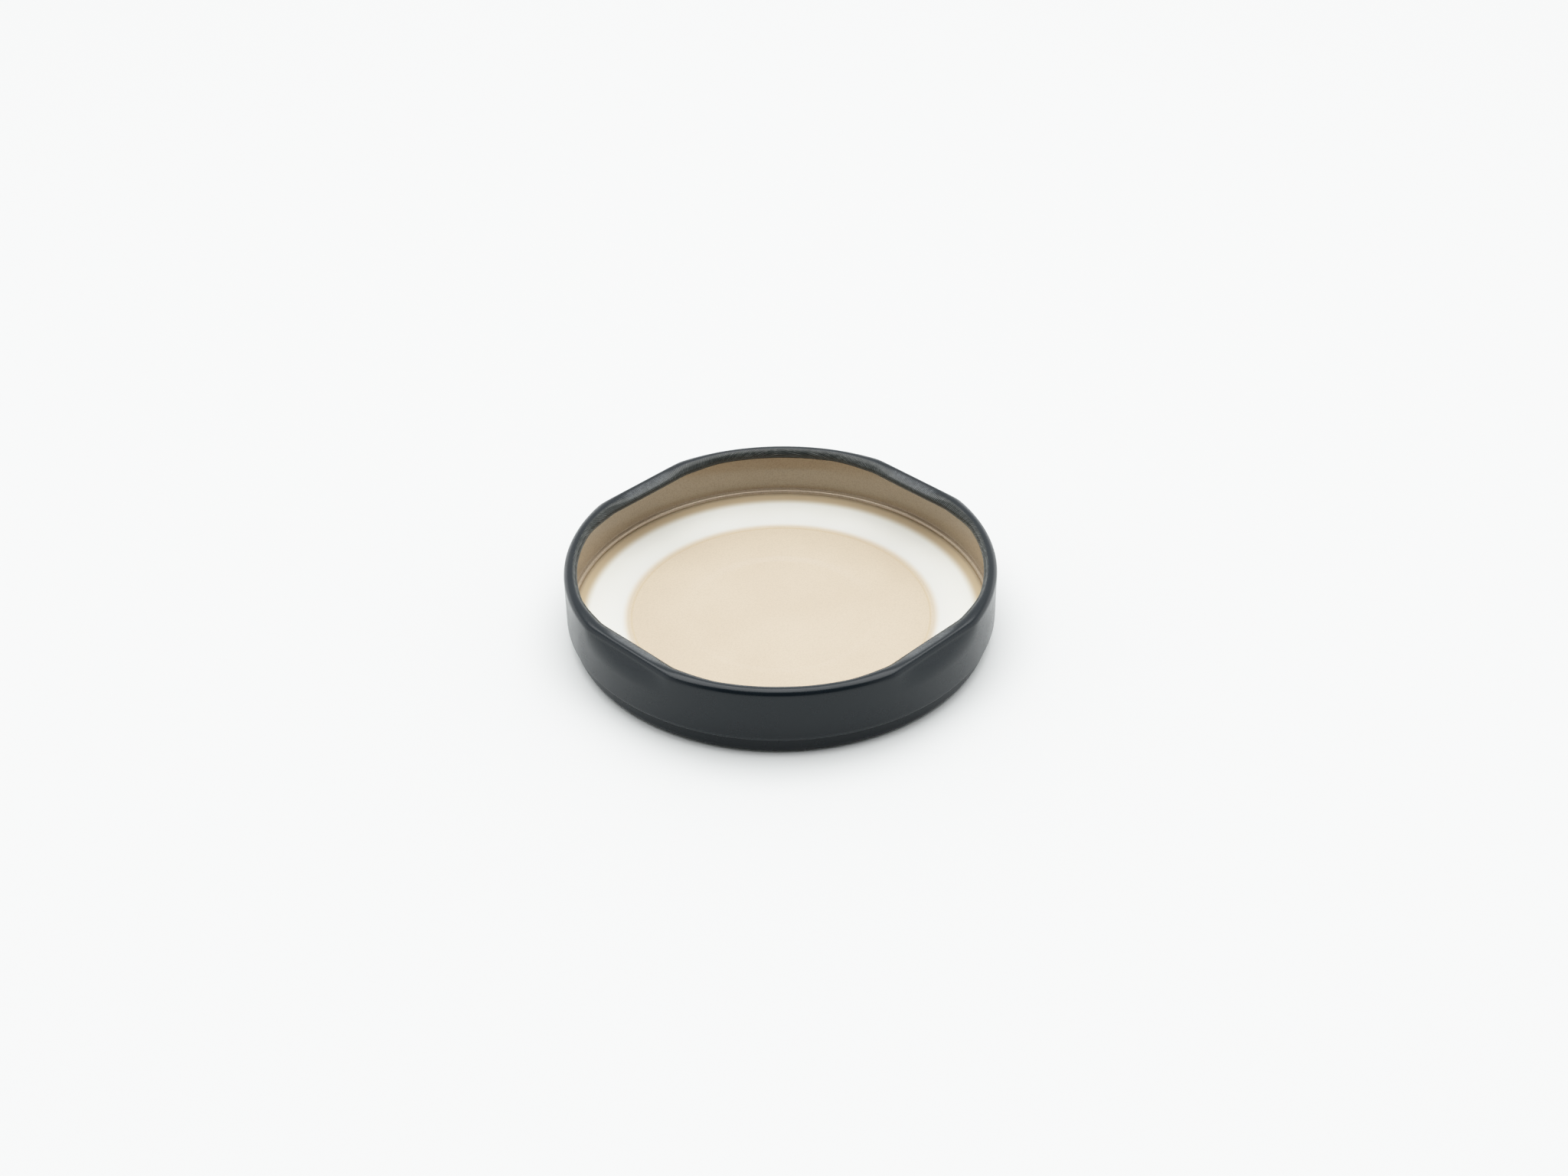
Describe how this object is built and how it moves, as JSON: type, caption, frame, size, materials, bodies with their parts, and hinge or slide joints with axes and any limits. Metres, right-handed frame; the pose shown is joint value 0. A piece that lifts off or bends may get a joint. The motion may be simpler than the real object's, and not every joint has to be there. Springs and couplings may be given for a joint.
{
  "type": "twist-off jar lid",
  "caption": "Shallow round steel twist-off jar lid with a rolled rim pressed into inward lugs, a stepped skirt and a soft white sealing ring in its channel.",
  "frame": {"origin": "centre of the resting ring's plane, on the lid's axis, as the lid lies with its open side up", "axes": "+Z along the lid's axis towards the open side; the lugs stand midway between the X and Y axes, and the pictured side faces -Y"},
  "size_m": [0.056, 0.056, 0.01],
  "materials": {
    "shell_enamel": "satin-gloss blue-black enamel outside and on the rolled rim, beige lacquer inside",
    "sealing_compound": "soft matt white sealing compound"
  },
  "bodies": {
    "root": {"shell": "shell_enamel", "gasket": "sealing_compound"}
  },
  "joints": []
}
